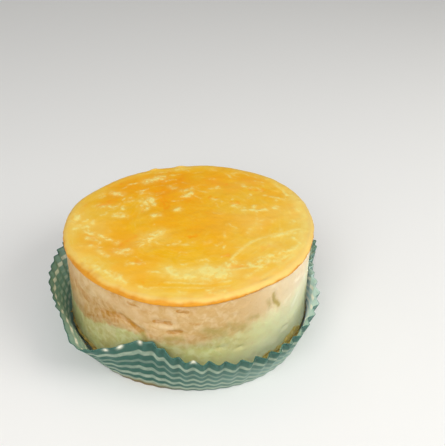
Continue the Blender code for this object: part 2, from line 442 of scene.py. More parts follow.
class CaseSettings(bpy.types.PropertyGroup):
    """Sizes and colours of the paper case."""

    pleats: bpy.props.IntProperty(
        name="Pleats", description="Number of pleats round the wall", default=66, min=3
    )
    base_radius: length_setting("Base radius", "Radius of the flat base", 51.7 * MM)
    wall: length_setting("Wall", "Length of the wall from the base to the rim", 20.0 * MM)
    lean: number_setting("Lean", "How far the wall leans out, in degrees", 13.0)
    depth_at_base: length_setting(
        "Pleat depth at the base", "Depth of the pleats where the wall starts", 0.3 * MM
    )
    depth_at_rim: length_setting(
        "Pleat depth at the rim", "Depth of the pleats at the rim", 2.2 * MM
    )
    paper: length_setting("Paper", "Thickness of the paper", 0.22 * MM)
    teal: colour_setting("Paper colour", "Colour of the paper", (0.034, 0.115, 0.088))
    ring: colour_setting("Ring colour", "Colour of the printed rings", (0.36, 0.43, 0.33))
    inner_teal: colour_setting(
        "Inner paper colour",
        "Colour of the paper's inner face, where the print is weaker",
        (0.22, 0.36, 0.30),
    )
    inner_ring: colour_setting(
        "Inner ring colour", "Colour of the rings on the paper's inner face", (1.0, 0.97, 0.78)
    )
    hazy: colour_setting(
        "Hazy paper",
        "Colour of the paper where light glances off it and the print looks faint",
        (0.30, 0.43, 0.39),
    )
    inner_hazy: colour_setting(
        "Hazy inner paper",
        "Colour of the paper's inner face where light comes through it",
        (0.54, 0.69, 0.68),
    )
    # Colour of a browner band at the foot of the wall, at the front left.
    brown_foot_band: colour_setting(
        "Stain", "Colour of the paper where the cake's foot has browned it", (0.22, 0.15, 0.05)
    )
    seed: bpy.props.IntProperty(
        name="Seed",
        description="Picks the chance unevenness of the pleats and the crumbs",
        default=4,
    )


class StageSettings(bpy.types.PropertyGroup):
    """Floor, light and camera."""

    floor: colour_setting("Floor colour", "Colour of the floor", (0.86, 0.86, 0.85))
    key_power: number_setting(
        "Key light", "Power of the large soft light on the right, in watts", 2.6
    )
    fill_power: number_setting(
        "Fill light", "Power of the large soft light over the front, in watts", 3.1
    )
    window_power: number_setting(
        "Window light", "Power of the small light at the back left, in watts", 0.12
    )
    sky: number_setting("Sky", "Brightness of the soft light from all round", 0.5)
    camera_height: number_setting(
        "Camera elevation", "How far above the horizon the camera stands, in degrees", 32.95
    )
    camera_distance: length_setting(
        "Camera distance", "Distance from the camera to the middle of the top", 241.5 * MM
    )


def height_range(node, slope=0.0):
    """Lowest and highest level of a solid, its heights brought to the axis along a slope."""
    heights = [vert.co.z - slope * vert.co.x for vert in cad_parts[node].data.vertices]
    return min(heights), max(heights)


def cake_levels():
    """Heights on the axis: under and over the sponge, under and over the cheese, under the top."""
    slope = bpy.context.scene.cake_settings.slope
    sponge_low, sponge_high = height_range("sponge_base")
    cheese_low, _ = height_range("cheese_body")
    _, cheese_high = height_range("cheese_body", slope)
    top_low, _ = height_range("browned_top", slope)
    return sponge_low, sponge_high, cheese_low, cheese_high, top_low


def turn_between(first, second):
    """The signed angle in degrees from second to first, the short way round."""
    return (first - second + 180.0) % 360.0 - 180.0


def bell(angle, centre, half_width):
    """1 at an angle and falling off on both sides of it."""
    return np.exp(-((turn_between(angle, centre) / half_width) ** 2))


def lobed(angle, lobes):
    """The sum of the lobes at each angle."""
    return sum(amount * bell(angle, centre, width) for centre, amount, width in lobes)


def soft_step(low, high, value):
    """0 below low, 1 above high and smooth between them; high may be the lower one."""
    share = np.clip((value - low) / (high - low), 0.0, 1.0)
    return share * share * (3.0 - 2.0 * share)


def around(angle, centre, full, none):
    """1 within some degrees of an angle, and 0 from a wider turn on."""
    return soft_step(none, full, np.abs(turn_between(angle, centre)))


def outline(angle, height):
    """Radius of the cake's outline at each angle and height, before any overhang."""
    foot, *_, rim = cake_levels()
    share = np.clip((height - foot) / (rim - foot), 0.0, 1.0)
    kept = FOOT_SHARE_OF_LOBES + (1.0 - FOOT_SHARE_OF_LOBES) * share
    flare = FOOT_FLARE * np.exp(-(((height - foot) / FOOT_FLARE_HEIGHT) ** 2))
    radius = bpy.context.scene.cake_settings.radius
    return radius + kept * MM * lobed(angle, OUTLINE_LOBES) + flare


def noise_at(points, octaves=1):
    """Smooth noise at each point of an array whose last axis is x, y, z."""
    flat = points.reshape(-1, 3)
    if octaves == 1:
        values = [noise.noise(point) for point in flat]
    else:
        values = [noise.fractal(point, 1.0, 2.0, octaves) for point in flat]
    return np.array(values).reshape(points.shape[:-1])


def flat_noise(x, y, scale, seed, octaves=1):
    """Noise over the top; scale is in cells to the metre."""
    place = (x * scale, y * scale, seed)
    return noise_at(np.stack(np.broadcast_arrays(*place), axis=-1), octaves)


def round_noise(angle, height, scale, seed, octaves=1):
    """Noise over the cake's side; scale is in cells to the metre."""
    turn = np.radians(angle)
    radius = bpy.context.scene.cake_settings.radius * scale
    place = (radius * np.cos(turn) + seed, radius * np.sin(turn), height * scale)
    return noise_at(np.stack(np.broadcast_arrays(*place), axis=-1), octaves)


def segment_away(across, up, end_across, end_up):
    """Distance of each point from a straight run that starts at zero."""
    length = max(end_across**2 + end_up**2, AXIS_REACH**2)
    share = np.clip((across * end_across + up * end_up) / length, 0.0, 1.0)
    return np.hypot(across - share * end_across, up - share * end_up)


def side_streak(angle, height, streak):
    """A streak on the unrolled side, from 0 away from it to its strength along its middle."""
    start_angle, start_z, end_angle, end_z, half_width, strength = streak
    arc = math.radians(1.0) * bpy.context.scene.cake_settings.radius
    away = segment_away(
        turn_between(angle, start_angle) * arc,
        height - start_z * MM,
        turn_between(end_angle, start_angle) * arc,
        (end_z - start_z) * MM,
    )
    return strength * np.exp(-((away / (half_width * MM)) ** 2))


def dent(angle, height, shape):
    """Depth of one oval dent on the unrolled side, in mm."""
    centre, centre_z, half_length, half_height, depth = shape
    radius = bpy.context.scene.cake_settings.radius
    along = np.radians(turn_between(angle, centre)) * radius / (half_length * MM)
    up = (height - centre_z * MM) / (half_height * MM)
    return depth * np.exp(-(along**2 + up**2))


def strongest(masks):
    """The highest of several masks at each point."""
    return np.max(np.stack(list(masks)), axis=0)


def marks(angle, height, streaks):
    """Mask of several coloured streaks on the side, bent and made ragged."""
    ragged = 1.25 + 0.5 * round_noise(angle, height, 300.0, 31.0, 2)
    bent = angle + round_noise(angle, height, 180.0, 33.0, 2)
    raised = height + 0.7 * MM * round_noise(angle, height, 180.0, 37.0, 2)
    return np.clip(ragged * strongest(side_streak(bent, raised, s) for s in streaks), 0.0, 1.0)


def through(knots, count):
    """Points of a smooth curve through the knots, count to each stretch."""
    knots = np.array(knots)
    ends = np.vstack((2 * knots[0] - knots[1], knots, 2 * knots[-1] - knots[-2]))
    points = []
    for i in range(len(knots) - 1):
        p0, p1, p2, p3 = ends[i : i + 4]
        for t in np.arange(count) / count:
            points.append(
                p1
                + 0.5 * t * (p2 - p0)
                + t**2 * (p0 - 2.5 * p1 + 2.0 * p2 - 0.5 * p3)
                + t**3 * (-0.5 * p0 + 1.5 * p1 - 1.5 * p2 + 0.5 * p3)
            )
    points.append(knots[-1])
    return np.array(points)


def linked(name, data):
    """A new object in the scene."""
    piece = bpy.data.objects.new(name, data)
    bpy.context.collection.objects.link(piece)
    return piece


def settle(piece, node=None):
    """Puts a finished piece on the cake's body, and in a solid's place where one is named."""
    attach(piece, "root")
    if node:
        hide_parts(node)


def carry(mesh, masks):
    """Stores masks on a mesh's points."""
    for name, values in masks.items():
        layer = mesh.attributes.new(name, "FLOAT", "POINT")
        layer.data.foreach_set("value", values.astype(np.float32))


def ring_angles(segments):
    """Evenly spaced angles round the cake, as a row."""
    return (np.arange(segments) * 360.0 / segments)[None, :]


def turned_mesh(name, angle, radius, height, centres, masks):
    """A closed mesh of rings, one a row, fanned at both ends to a centre at the height given.

    Each mask becomes a float attribute of the points, and the centres take its mean.
    """
    turn = np.radians(angle)
    parts = (radius * np.cos(turn), radius * np.sin(turn), height)
    rings = np.stack(np.broadcast_arrays(*parts), axis=-1)
    rows, segments = rings.shape[:2]
    points = np.vstack((rings.reshape(-1, 3), [(0.0, 0.0, centre) for centre in centres]))
    low, high = len(points) - 2, len(points) - 1
    here = np.arange(segments)
    after = (here + 1) % segments
    start = (np.arange(rows - 1) * segments)[:, None]
    quads = np.stack(
        (start + here, start + after, start + segments + after, start + segments + here), axis=-1
    ).reshape(-1, 4)
    last = (rows - 1) * segments
    faces = quads.tolist()
    faces += [(int(b), int(a), low) for a, b in zip(here, after)]
    faces += [(int(last + a), int(last + b), high) for a, b in zip(here, after)]
    mesh = bpy.data.meshes.new(name)
    mesh.from_pydata(points.tolist(), [], faces)
    for mask_name, values in masks.items():
        values = np.broadcast_to(values, (rows, segments))
        ends = (values[0].mean(), values[-1].mean())
        carry(mesh, {mask_name: np.append(values.reshape(-1), ends)})
    mesh.shade_smooth()
    return linked(name, mesh)


def feed(tree, node, feeds):
    """Feeds a node's inputs with values or other nodes' outputs."""
    for socket, value in feeds.items():
        if isinstance(value, bpy.types.NodeSocket):
            tree.links.new(value, node.inputs[socket])
        else:
            node.inputs[socket].default_value = value


def put(tree, kind, feeds=None, **settings):
    """Adds a node, sets it up and feeds it; gives its outputs."""
    node = tree.nodes.new(kind)
    for name, value in settings.items():
        setattr(node, name, value)
    feed(tree, node, feeds or {})
    return node.outputs


def calc(tree, operation, *values):
    """A Math node's output."""
    return put(tree, "ShaderNodeMath", dict(enumerate(values)), operation=operation)[0]


def times(tree, first, *others):
    """The product of some values."""
    for other in others:
        first = calc(tree, "MULTIPLY", first, other)
    return first


def clamped(tree, value):
    """A value kept from 0 to 1."""
    return put(tree, "ShaderNodeClamp", {0: value})[0]


def fade(tree, value, low, high, to_low=0.0, to_high=1.0):
    """A value eased from one range to another."""
    feeds = {0: value, 1: low, 2: high, 3: to_low, 4: to_high}
    return put(tree, "ShaderNodeMapRange", feeds, interpolation_type="SMOOTHSTEP")[0]


def blend(tree, share, *pair):
    """A colour mixed from two by a share; each is a node's output or a setting."""
    first, second = (c if isinstance(c, bpy.types.NodeSocket) else (*c, 1.0) for c in pair)
    return put(tree, "ShaderNodeMix", {0: share, 6: first, 7: second}, data_type="RGBA")[2]


def speckle(tree, place, scale, detail, **more):
    """A noise texture's value; more holds its other inputs."""
    feeds = {"Vector": place, "Scale": scale, "Detail": detail, **more}
    return put(tree, "ShaderNodeTexNoise", feeds)[0]


def split(tree, vector):
    """The three parts of a vector."""
    return put(tree, "ShaderNodeSeparateXYZ", {0: vector})


def joined(tree, x=0.0, y=0.0, z=0.0):
    """A vector from its parts."""
    return put(tree, "ShaderNodeCombineXYZ", {0: x, 1: y, 2: z})[0]


def vector_calc(tree, operation, feeds):
    """The vector that a Vector Math node gives."""
    return put(tree, "ShaderNodeVectorMath", feeds, operation=operation)[0]


def new_group(name, kind, inputs, result):
    """An empty node group and its inputs; an input is given by its default or kind of socket."""
    group = bpy.data.node_groups.new(name, kind)
    for socket_name, default in inputs.items():
        is_number = isinstance(default, float)
        socket = group.interface.new_socket(
            name=socket_name,
            in_out="INPUT",
            socket_type="NodeSocketFloat" if is_number else default,
        )
        if is_number:
            socket.default_value = default
    group.interface.new_socket(name="Result", in_out="OUTPUT", socket_type=result)
    return group, put(group, "NodeGroupInput")


def mask_group(name, **numbers):
    """An empty shader group that takes a place and some numbers and gives a number."""
    inputs = {"Vector": "NodeSocketVector", **numbers}
    return new_group(name, "ShaderNodeTree", inputs, "NodeSocketFloat")


def shape_group(name, inputs):
    """An empty Geometry Nodes group that gives a shape with a material."""
    inputs = {"Geometry": "NodeSocketGeometry", "Material": "NodeSocketMaterial", **inputs}
    return new_group(name, "GeometryNodeTree", inputs, "NodeSocketGeometry")


def close_group(group, result):
    """The group, giving its result."""
    put(group, "NodeGroupOutput", {0: result})
    return group


def close_shape(tree, shape, material):
    """The group, giving its shape with every instance made real and the material on it."""
    real = put(tree, "GeometryNodeRealizeInstances", {0: shape})[0]
    feeds = {"Geometry": real, "Material": material}
    return close_group(tree, put(tree, "GeometryNodeSetMaterial", feeds)[0])


def grouped(tree, name, feeds):
    """The result of a group placed in a tree; the group is built when first asked for."""
    group = bpy.data.node_groups.get(name) or GROUP_BUILDERS[name](name)
    kind = "GeometryNodeGroup" if tree.type == "GEOMETRY" else "ShaderNodeGroup"
    return put(tree, kind, feeds, node_tree=group)[0]


def build_mottle(name):
    """Mask of soft cloudy patches with finer ones in them."""
    group, given = mask_group(name, Scale=100.0, Sharpness=0.5)
    cloud = speckle(group, given["Vector"], given["Scale"], 5.0, Distortion=0.6)
    narrow = times(group, given["Sharpness"], 0.2)
    low = calc(group, "ADD", 0.3, narrow)
    high = calc(group, "SUBTRACT", 0.7, narrow)
    return close_group(group, fade(group, cloud, low, high))


def build_round_wisps(name):
    """Mask of fine wisps that lie round the middle, as a brush leaves them."""
    group, given = mask_group(name, Round=7.0, Out=900.0)
    x, y, _ = split(group, given["Vector"])
    flat = joined(group, x, y)
    reach = put(group, "ShaderNodeVectorMath", {0: flat}, operation="LENGTH")["Value"]
    way = vector_calc(group, "NORMALIZE", {0: flat})
    way = vector_calc(group, "SCALE", {0: way, "Scale": given["Round"]})
    rise = joined(group, z=times(group, reach, given["Out"]))
    spot = vector_calc(group, "ADD", {0: way, 1: rise})
    streaky = speckle(group, spot, 1.0, 5.0, Roughness=0.6, Distortion=0.5)
    return close_group(group, fade(group, streaky, 0.45, 0.75))


def build_ragged_edge(name):
    """A mask whose soft edge is broken up by a fine noise."""
    group, given = mask_group(name, Mask=0.0, Scale=800.0, Amount=0.7)
    flecks = speckle(group, given["Vector"], given["Scale"], 3.0, Roughness=0.6)
    centred = times(group, calc(group, "SUBTRACT", flecks, 0.5), given["Amount"])
    near = fade(group, given["Mask"], 0.0, 0.35)
    broken = calc(group, "MULTIPLY_ADD", centred, near, given["Mask"])
    return close_group(group, clamped(group, broken))


def build_crumb_grain(name):
    """Height of a fine baked grain with pores in it."""
    group, given = mask_group(name, Scale=900.0, Pores=0.5)
    grain = speckle(group, given["Vector"], given["Scale"], 4.0, Roughness=0.6)
    feeds = {"Vector": given["Vector"], "Scale": times(group, given["Scale"], 0.7)}
    cells = put(group, "ShaderNodeTexVoronoi", feeds)["Distance"]
    sunk = times(group, fade(group, cells, 0.12, 0.3, 1.0, 0.0), given["Pores"])
    return close_group(group, calc(group, "SUBTRACT", grain, sunk))


def build_lobe(name):
    """One bell-shaped lobe round an angle in degrees."""
    inputs = {"Angle": 0.0, "Centre": 0.0, "Amount": 0.0, "Half Width": 10.0}
    group, given = new_group(name, "GeometryNodeTree", inputs, "NodeSocketFloat")
    off = calc(group, "SUBTRACT", given["Angle"], given["Centre"])
    share = calc(group, "DIVIDE", calc(group, "WRAP", off, 180.0, -180.0), given["Half Width"])
    hump = calc(group, "EXPONENT", times(group, share, share, -1.0))
    return close_group(group, times(group, hump, given["Amount"]))


GROUP_BUILDERS = {
    "Baked mottle": build_mottle,
    "Round wisps": build_round_wisps,
    "Ragged edge": build_ragged_edge,
    "Crumb grain": build_crumb_grain,
    "Lobe": build_lobe,
}


def new_material(name):
    """A material, its node tree, its surface shader and its place in the piece's coordinates."""
    material = bpy.data.materials.new(name)
    material.use_nodes = True
    tree = material.node_tree
    place = put(tree, "ShaderNodeTexCoord")["Object"]
    return material, tree, tree.nodes["Principled BSDF"], place


def mask_of(tree, name):
    """A mask that the mesh carries."""
    return put(tree, "ShaderNodeAttribute", attribute_name=name)["Fac"]


def mottle(tree, place, scale, sharpness):
    """Mask of soft cloudy patches."""
    return grouped(tree, "Baked mottle", {"Vector": place, "Scale": scale, "Sharpness": sharpness})


def ragged(tree, place, mask, scale=800.0, amount=0.7):
    """A mask, or one that the mesh carries under a name, with its edge broken up."""
    if isinstance(mask, str):
        mask = mask_of(tree, mask)
    feeds = {"Vector": place, "Mask": mask, "Scale": scale, "Amount": amount}
    return grouped(tree, "Ragged edge", feeds)


def bumped(tree, height, depth):
    """A normal from a height that is so many metres deep."""
    return put(tree, "ShaderNodeBump", {"Height": height, "Distance": depth})["Normal"]


def grainy(tree, place, scale, pores, depth):
    """A normal from a fine baked grain."""
    feeds = {"Vector": place, "Scale": scale, "Pores": pores}
    return bumped(tree, grouped(tree, "Crumb grain", feeds), depth)


def glazed_skin(cake):
    """Golden baked skin under a moist glaze, with pale and browned streaks."""
    # The top carries painted glints in its light streaks, patches of painted sheen and a painted
    # highlight inside the rim.
    material, tree, surface, place = new_material("glazed_skin")
    pale_and_glint = ragged(tree, place, "pale_and_glint", 950.0, 1.1)
    deep = ragged(tree, place, "deep")
    warm = calc(tree, "MULTIPLY_ADD", mottle(tree, place, 62.0, 0.4), 0.35, deep)
    warm = clamped(tree, warm)
    colour = blend(tree, warm, cake.golden, cake.browned)
    wisps = grouped(tree, "Round wisps", {"Vector": place})
    thin = calc(tree, "MULTIPLY_ADD", mottle(tree, place, 210.0, 0.2), 0.5, wisps)
    # Painted sheen, painted glints and thick glaze with its wisps, as one lighter share.
    pale_and_lit = calc(tree, "ADD", mask_of(tree, "light"), pale_and_glint)
    thinned = fade(tree, warm, 0.0, 0.6, 0.16, 0.02)
    pale_and_lit = clamped(tree, calc(tree, "MULTIPLY_ADD", thin, thinned, pale_and_lit))
    colour = blend(tree, pale_and_lit, colour, cake.thick_glaze_and_sheen)
    colour = blend(tree, ragged(tree, place, "lip", 500.0, 0.35), colour, cake.rim_pale)
    crust = blend(tree, deep, cake.rim_crust, cake.burnt)
    finish = {
        "Base Color": blend(tree, ragged(tree, place, "rim", 500.0, 0.35), colour, crust),
        "Roughness": fade(tree, pale_and_glint, 0.0, 0.6, 0.5, 0.24),
        "Normal": grainy(tree, place, 1100.0, 0.2, 0.05 * MM),
        "Specular IOR Level": 0.15,
    }
    feed(tree, surface, finish)
    return material


def baked_cheese(cake):
    """Soft, wet-looking cheese: peach and orange-brown above, tinted green low down.

    The orange-brown is partly painted shade in the creases, pits and on the left side, the right
    side and front foot are painted lighter as painted light and highlights, and the green tint is
    painted reflection of the teal paper.
    """
    material, tree, surface, place = new_material("baked_cheese")
    broad = mottle(tree, place, 90.0, 0.3)
    fine = mottle(tree, place, 420.0, 0.2)
    speck = mottle(tree, place, 800.0, 0.8)
    # Orange-brown streaks, painted shade in the creases and pits among them, and painted shade
    # towards the left side.
    streaks = fade(tree, mask_of(tree, "toasted_and_shaded"), 0.08, 0.65)
    streaks = ragged(tree, place, streaks, amount=0.4)
    toasted_and_shaded = calc(tree, "MAXIMUM", times(tree, broad, mask_of(tree, "painted_left_shade")), streaks)
    toasted_and_shaded = clamped(tree, calc(tree, "MULTIPLY_ADD", speck, 0.08, toasted_and_shaded))
    colour = blend(tree, toasted_and_shaded, cake.cheese, cake.toasted_and_shaded)
    # Whitish mottle and streaks, with painted highlights and painted light on the right and foot.
    pale_and_lit = calc(tree, "MAXIMUM", times(tree, fine, 0.24), mask_of(tree, "milky_and_lit"))
    colour = blend(tree, pale_and_lit, colour, cake.milky_and_lit)
    # The green low down is painted reflection of the teal paper, in its lit copy under painted
    # light.
    green = blend(tree, pale_and_lit, cake.paper_bounce, cake.paper_bounce_lit)
    green = blend(tree, times(tree, broad, 0.25), green, colour)
    colour = blend(tree, ragged(tree, place, "paper_bounce", 420.0, 1.0), colour, green)
    colour = blend(tree, ragged(tree, place, "olive"), colour, cake.olive)
    crumb = blend(tree, times(tree, speck, 0.25), cake.sponge, cake.crust)
    finish = {
        "Base Color": blend(tree, ragged(tree, place, "crumbed", 700.0, 2.0), colour, crumb),
        "Roughness": fade(tree, fine, 0.0, 1.0, 0.4, 0.6),
        "Normal": grainy(tree, place, 1300.0, 0.5, 0.08 * MM),
        "Subsurface Weight": 0.45,
        "Subsurface Radius": (1.0, 0.8, 0.5),
        "Subsurface Scale": 2.0 * MM,
        "Specular IOR Level": 0.35,
    }
    feed(tree, surface, finish)
    return material


def browned_sponge(cake, name="browned_sponge"):
    """Crumbly sponge, golden inside with a dark brown skin."""
    material, tree, surface, place = new_material(name)
    dark = calc(tree, "ADD", mottle(tree, place, 160.0, 0.7), mottle(tree, place, 700.0, 0.5))
    finish = {
        "Base Color": blend(tree, times(tree, dark, 0.42), cake.sponge, cake.crust),
        "Roughness": 0.85,
        "Normal": grainy(tree, place, 1100.0, 1.0, 0.25 * MM),
        "Specular IOR Level": 0.25,
    }
    feed(tree, surface, finish)
    return material


def ring_paper(case):
    """Matt greaseproof paper with thin printed rings; its UV map runs round and up the wall."""
    # The paper has painted sheen, painted glow where light comes through it, painted highlights at
    # the rim's folds, and painted shade on its folds and along the rim.
    material, tree, surface, place = new_material("ring_paper")
    along, up, _ = split(tree, put(tree, "ShaderNodeUVMap", uv_map="UVMap")[0])
    wobble = calc(tree, "SUBTRACT", speckle(tree, place, 500.0, 2.0), 0.5)
    up = calc(tree, "MULTIPLY_ADD", wobble, 0.03, up)
    printed = 0.0
    for from_rim, half_width, strength in PAPER_RINGS:
        away = calc(tree, "ABSOLUTE", calc(tree, "SUBTRACT", up, 1.0 - from_rim))
        ring = fade(tree, away, half_width * 0.6, half_width * 1.3, strength, 0.0)
        printed = calc(tree, "MAXIMUM", printed, ring)
    worn = mottle(tree, place, 380.0, 0.3)
    printed = times(tree, printed, fade(tree, worn, 0.0, 1.0, 0.72, 1.0))
    inner = mask_of(tree, "inner")
    sheen_and_glow_mask = mask_of(tree, "sheen_and_glow")

    # On the inner face, away from the painted glow, the print is faded on one band of each pleat,
    # breaking the rings into dashes as painted shade on the pleats' shaded sides, and the low
    # rings are fainter.
    fold = calc(tree, "PINGPONG", calc(tree, "FRACT", calc(tree, "ADD", along, 0.25)), 0.5)
    lit = times(tree, inner, fade(tree, sheen_and_glow_mask, 0.2, 0.6, 1.0, 0.1))
    for lost in (fade(tree, fold, 0.16, 0.34, 0.65, 0.0), fade(tree, up, 0.62, 0.68, 0.55, 0.0)):
        kept = calc(tree, "SUBTRACT", 1.0, times(tree, lost, lit))
        printed = times(tree, printed, kept)

    # Painted sheen on the outer face and painted glow through the inner face, mottled.
    sheen_and_glow = times(tree, fade(tree, mottle(tree, place, 55.0, 0.2), 0.0, 1.0, 0.7, 1.0), sheen_and_glow_mask)
    teal = blend(tree, inner, case.teal, case.inner_teal)
    teal = blend(tree, sheen_and_glow, teal, blend(tree, inner, case.hazy, case.inner_hazy))
    colour = blend(tree, printed, teal, blend(tree, inner, case.ring, case.inner_ring))
    # A browner band at the foot of the wall, at the front left.
    colour = blend(tree, mask_of(tree, "brown_foot_band"), colour, case.brown_foot_band)
    # Painted shade along the rim's edge.
    colour = blend(tree, mask_of(tree, "edge"), colour, case.teal)
    fibres = speckle(tree, place, 2200.0, 3.0, Roughness=0.7)
    finish = {
        # Painted highlights at the rim's folds.
        "Base Color": blend(tree, mask_of(tree, "rim_glints"), colour, case.inner_ring),
        "Roughness": fade(tree, worn, 0.0, 1.0, 0.55, 0.7),
        "Normal": bumped(tree, fibres, 0.04 * MM),
        "Specular IOR Level": 0.35,
        "Subsurface Weight": 1.0,
        "Subsurface Radius": (1.0, 1.0, 1.0),
        "Subsurface Scale": 0.8 * MM,
    }
    feed(tree, surface, finish)
    return material


def lobes_in_tree(tree, angle, lobes, start, unit=MM):
    """A start value and the lobes at an angle, summed in a tree; unit is what one of them is."""
    for centre, amount, width in lobes:
        feeds = {"Angle": angle, "Centre": centre, "Amount": amount * unit, "Half Width": width}
        start = calc(tree, "ADD", start, grouped(tree, "Lobe", feeds))
    return start


def seeded_noise(tree, turn, scale, seed):
    """Noise from about -1 to 1 that closes on itself round the case."""
    place = joined(tree, calc(tree, "COSINE", turn), calc(tree, "SINE", turn), seed)
    return calc(tree, "MULTIPLY_ADD", speckle(tree, place, scale, 1.0), 2.0, -1.0)


# The case's settings as inputs of its tree, each under its own name in capitals.
CASE_INPUTS = {
    "Pleats": "NodeSocketInt",
    "Seed": "NodeSocketInt",
    "Base Radius": 0.0,
    "Wall": 0.0,
    "Lean": 0.0,
    "Depth At Base": 0.0,
    "Depth At Rim": 0.0,
    "Paper": 0.0,
}


def case_tree():
    """Geometry Nodes that bend a grid into the case: flat base, pleated wall, open rim.

    The grid's first side runs round the case, its second from the middle of the base, out to its
    edge and up the wall.
    """
    tree, given = shape_group("Pleated case", CASE_INPUTS)
    columns = calc(tree, "MULTIPLY_ADD", given["Pleats"], STEPS_PER_PLEAT, 1.0)
    rows = FLOOR_ROWS + WALL_ROWS + 1
    feeds = {"Size X": 1.0, "Size Y": 1.0, "Vertices X": columns, "Vertices Y": rows}
    grid = put(tree, "GeometryNodeMeshGrid", feeds)[0]
    x, y, _ = split(tree, put(tree, "GeometryNodeInputPosition")[0])
    round_share = calc(tree, "ADD", x, 0.5)
    row = calc(tree, "MULTIPLY_ADD", y, rows - 1.0, 0.5 * (rows - 1.0))
    angle = calc(tree, "MULTIPLY_ADD", round_share, 360.0, PLEAT_PHASE)
    turn = calc(tree, "RADIANS", angle)
    share = calc(tree, "DIVIDE", calc(tree, "SUBTRACT", row, FLOOR_ROWS), WALL_ROWS)
    share = clamped(tree, share)
    inward = clamped(tree, calc(tree, "DIVIDE", row, FLOOR_ROWS))

    base = lobes_in_tree(tree, angle, CASE_BASE_LOBES, given["Base Radius"])
    length = lobes_in_tree(tree, angle, LENGTH_LOBES, given["Wall"])
    chance = seeded_noise(tree, turn, 9.0, given["Seed"])
    length = times(tree, calc(tree, "MULTIPLY_ADD", chance, 0.35 * MM, length), share)
    lean = lobes_in_tree(tree, angle, LEAN_LOBES, given["Lean"], 1.0)
    lean = calc(tree, "MULTIPLY_ADD", seeded_noise(tree, turn, 14.0, 20.5), 2.2, lean)
    lean = calc(tree, "RADIANS", lean)
    depth = lobes_in_tree(tree, angle, DEPTH_LOBES, given["Depth At Rim"])
    depth = calc(tree, "MULTIPLY_ADD", seeded_noise(tree, turn, 11.0, 7.5), 0.3 * MM, depth)
    spread = calc(tree, "SUBTRACT", depth, given["Depth At Base"])
    depth = calc(tree, "MULTIPLY_ADD", spread, share, given["Depth At Base"])
    depth = times(tree, depth, fade(tree, inward, 0.72, 1.0))

    shift = times(tree, seeded_noise(tree, turn, 8.0, 3.5), 0.16)
    shift = lobes_in_tree(tree, angle, PHASE_LOBES, shift, 1.0)
    pleat = calc(tree, "MULTIPLY_ADD", round_share, given["Pleats"], shift)
    flat = 0.5 * FOLD_HALF_WIDTH
    feeds = {0: calc(tree, "PINGPONG", pleat, 0.5), 1: flat, 2: 0.5 - flat, 3: -1.0, 4: 1.0}
    wave = put(tree, "ShaderNodeMapRange", feeds)[0]
    pleated = times(tree, wave, depth, 0.5)

    out = times(tree, length, calc(tree, "SINE", lean))
    bow = times(tree, share, calc(tree, "SUBTRACT", 1.0, share))
    out = calc(tree, "MULTIPLY_ADD", bow, lobes_in_tree(tree, angle, BOW_LOBES, BOW), out)
    radius = calc(tree, "ADD", calc(tree, "ADD", base, out), pleated)
    radius = times(tree, radius, inward)
    half_paper = times(tree, given["Paper"], 0.5)
    height = calc(tree, "MULTIPLY_ADD", length, calc(tree, "COSINE", lean), half_paper)
    x = times(tree, radius, calc(tree, "COSINE", turn))
    y = times(tree, radius, calc(tree, "SINE", turn))
    feeds = {"Geometry": grid, "Name": "UVMap", "Value": joined(tree, pleat, share)}
    mapped = put(
        tree, "GeometryNodeStoreNamedAttribute", feeds, data_type="FLOAT2", domain="CORNER"
    )[0]
    feeds = {"Geometry": mapped, "Position": joined(tree, x, y, height)}
    bent = put(tree, "GeometryNodeSetPosition", feeds)[0]
    feeds = {"Geometry": bent, "Distance": AXIS_REACH}
    merged = put(tree, "GeometryNodeMergeByDistance", feeds)[0]
    return close_shape(tree, merged, given["Material"])


def grown_piece(name, tree, values, paper=0.0):
    """A plain mesh piece that a Geometry Nodes tree makes, thickened to paper where asked."""
    blank = linked(name + "_blank", bpy.data.meshes.new(name + "_blank"))
    modifier = blank.modifiers.new(tree.name, "NODES")
    modifier.node_group = tree
    for item in tree.interface.items_tree:
        if item.in_out == "INPUT" and item.name in values:
            modifier[item.identifier] = values[item.name]
    if paper:
        thick = blank.modifiers.new("Paper", "SOLIDIFY")
        thick.thickness = paper
        thick.offset = 0.0
    graph = bpy.context.evaluated_depsgraph_get()
    mesh = bpy.data.meshes.new_from_object(blank.evaluated_get(graph))
    mesh.name = name
    bpy.data.objects.remove(blank)
    mesh.shade_smooth()
    return linked(name, mesh)


